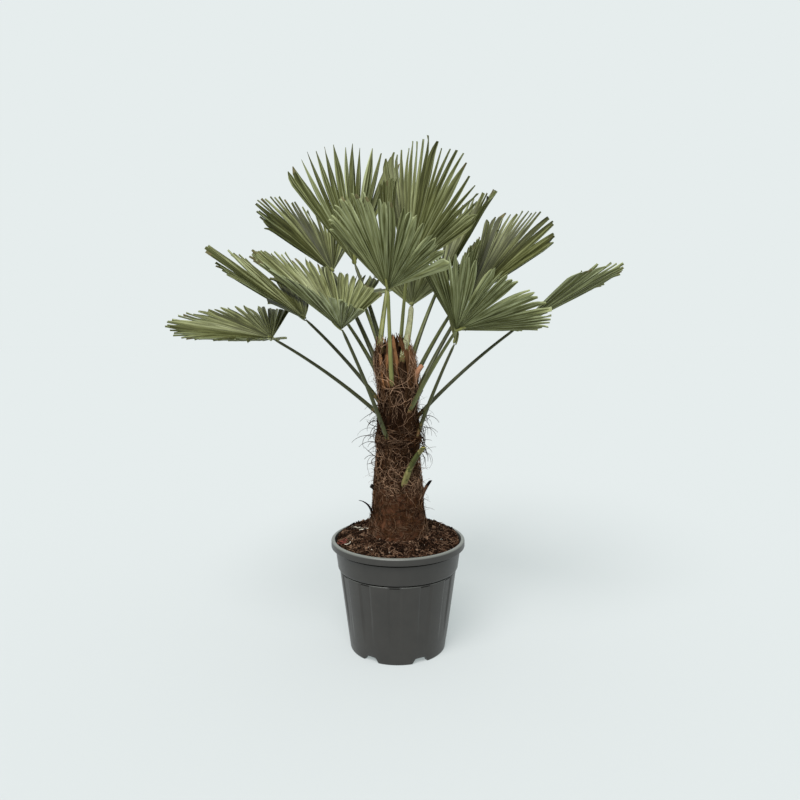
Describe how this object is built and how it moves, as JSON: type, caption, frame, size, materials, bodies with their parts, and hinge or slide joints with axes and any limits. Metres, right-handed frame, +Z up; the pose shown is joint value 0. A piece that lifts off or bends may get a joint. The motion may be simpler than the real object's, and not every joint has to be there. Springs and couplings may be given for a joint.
{
  "type": "potted windmill palm",
  "caption": "Small windmill palm with stiff pleated fan leaves on slim stalks over a fibre-clad trunk, standing in a round grower pot with a rolled rim.",
  "frame": {"origin": "centre of the pot's flat underside, at mount foot", "axes": "+Z up, -Y towards the front that the picture shows, +X to the right of that view"},
  "size_m": [1.3137, 0.9982, 1.5033],
  "materials": {
    "pot": "dark grey moulded plastic, satin",
    "soil": "damp potting mix of bark chips and coir",
    "trunk": "matted brown leaf-sheath fibre",
    "stalk": "smooth green leaf stalk",
    "fan": "stiff pleated leaf, slightly waxy",
    "stump": "dry cut leaf base"
  },
  "bodies": {
    "root": {"pot": "pot", "soil": "soil", "trunk": "trunk", "stalk_01": "stalk", "stalk_02": "stalk", "stalk_03": "stalk", "stalk_04": "stalk", "stalk_05": "stalk", "stalk_06": "stalk", "stalk_07": "stalk", "stalk_08": "stalk", "stalk_09": "stalk", "stalk_10": "stalk", "stalk_11": "stalk", "stalk_12": "stalk", "stalk_13": "stalk", "stalk_14": "stalk", "stalk_15": "stalk", "stalk_16": "stalk", "stalk_17": "stalk", "fan_01": "fan", "fan_02": "fan", "fan_03": "fan", "fan_04": "fan", "fan_05": "fan", "fan_06": "fan", "fan_07": "fan", "fan_08": "fan", "fan_09": "fan", "fan_10": "fan", "fan_11": "fan", "fan_12": "fan", "fan_13": "fan", "fan_14": "fan", "fan_15": "fan", "fan_16": "fan", "fan_17": "fan", "stump_01": "stump", "stump_02": "stump", "stump_03": "stump", "stump_04": "stump", "stump_05": "stump", "stump_06": "stump", "stump_07": "stump", "stump_08": "stump"}
  },
  "joints": []
}
